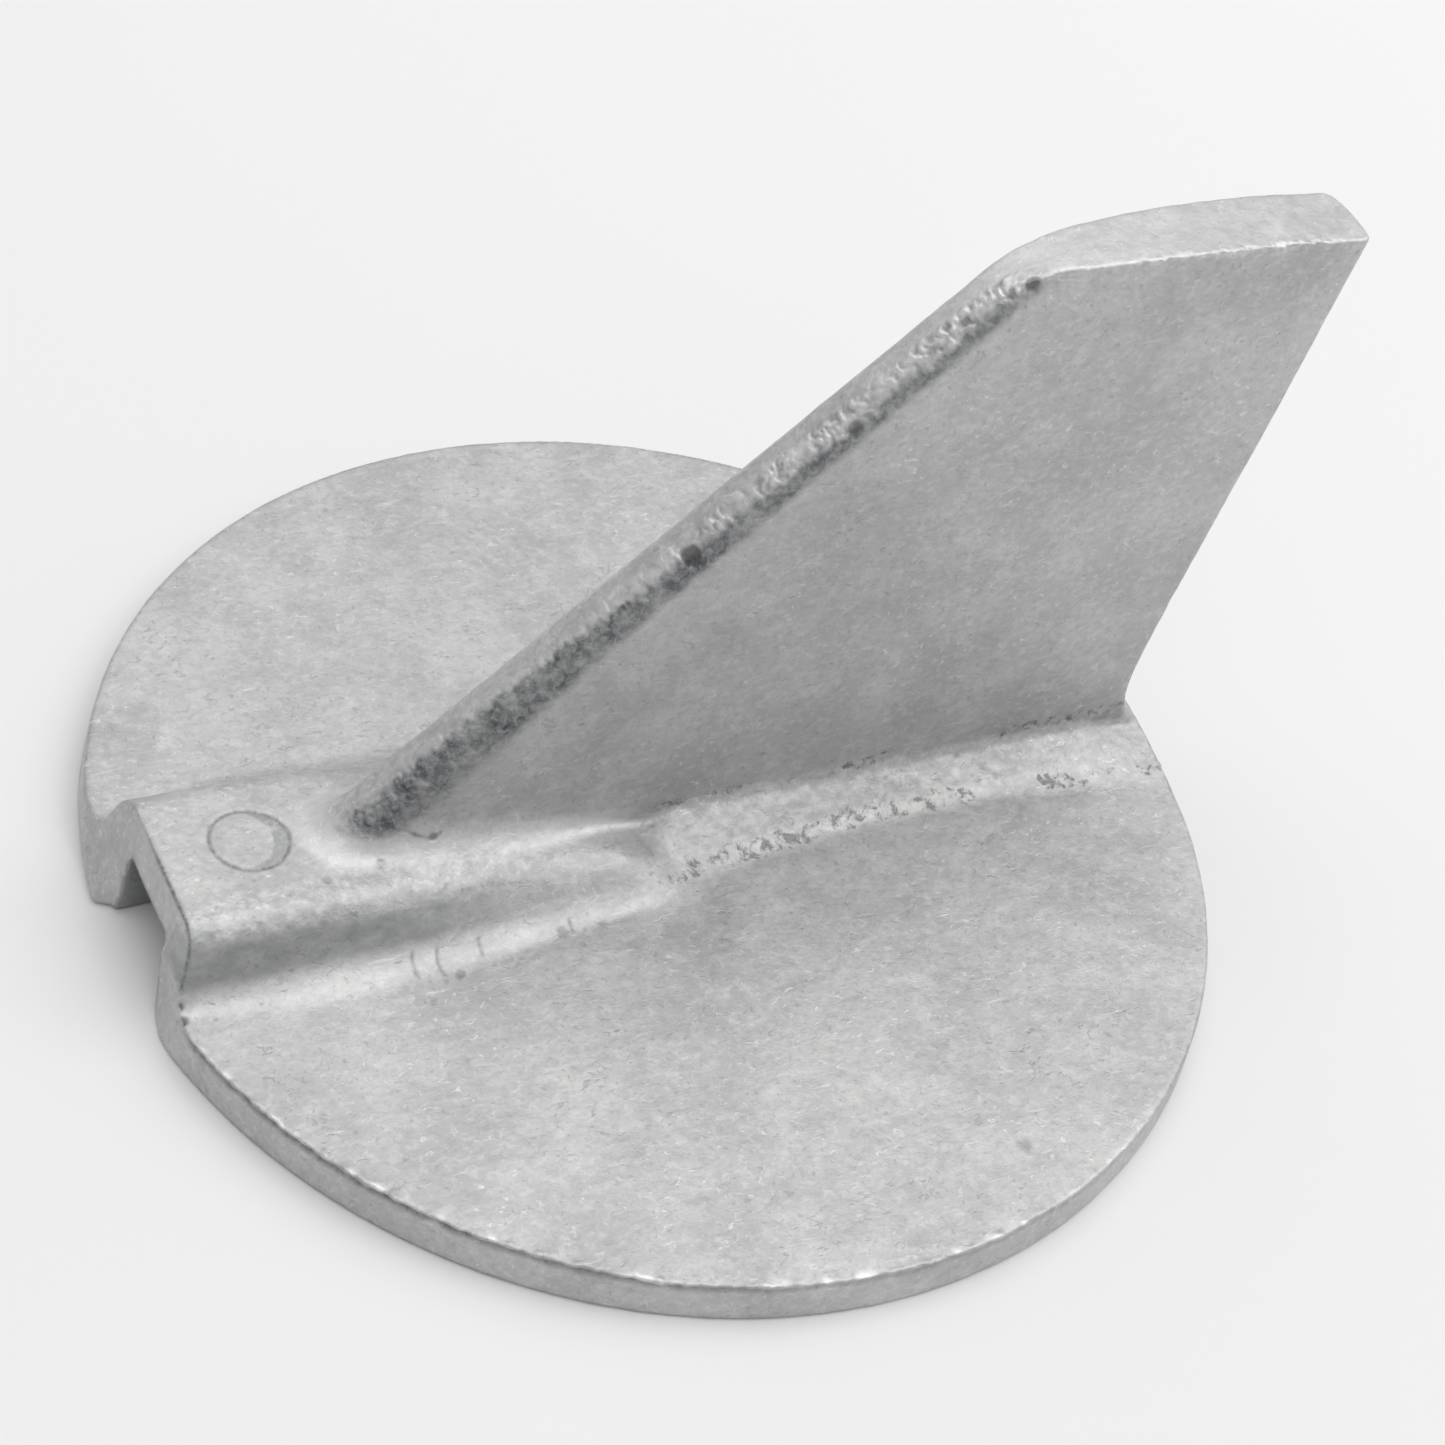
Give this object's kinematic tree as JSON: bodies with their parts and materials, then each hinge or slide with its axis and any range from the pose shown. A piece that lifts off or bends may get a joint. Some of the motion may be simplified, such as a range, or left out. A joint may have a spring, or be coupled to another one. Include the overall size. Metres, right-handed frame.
{
  "type": "trim tab anode",
  "caption": "Round cast anode with a swept steering trim fin, bolted up under an outboard's anti-ventilation plate.",
  "frame": {"origin": "centre of the disc on its flat mounting face, on the axis of the bolt's thread", "axes": "+Z away from the mounting face towards the fin's tip, +X aft from the fin's leading edge to its trailing edge, +Y across"},
  "size_m": [0.097, 0.0962, 0.0579],
  "materials": {
    "cast_metal": "as cast, matt, lightly scratched, rough on the leading edge",
    "insert_steel": "turned, plain"
  },
  "bodies": {
    "root": {"anode_casting": "cast_metal", "threaded_insert": "insert_steel"}
  },
  "joints": []
}
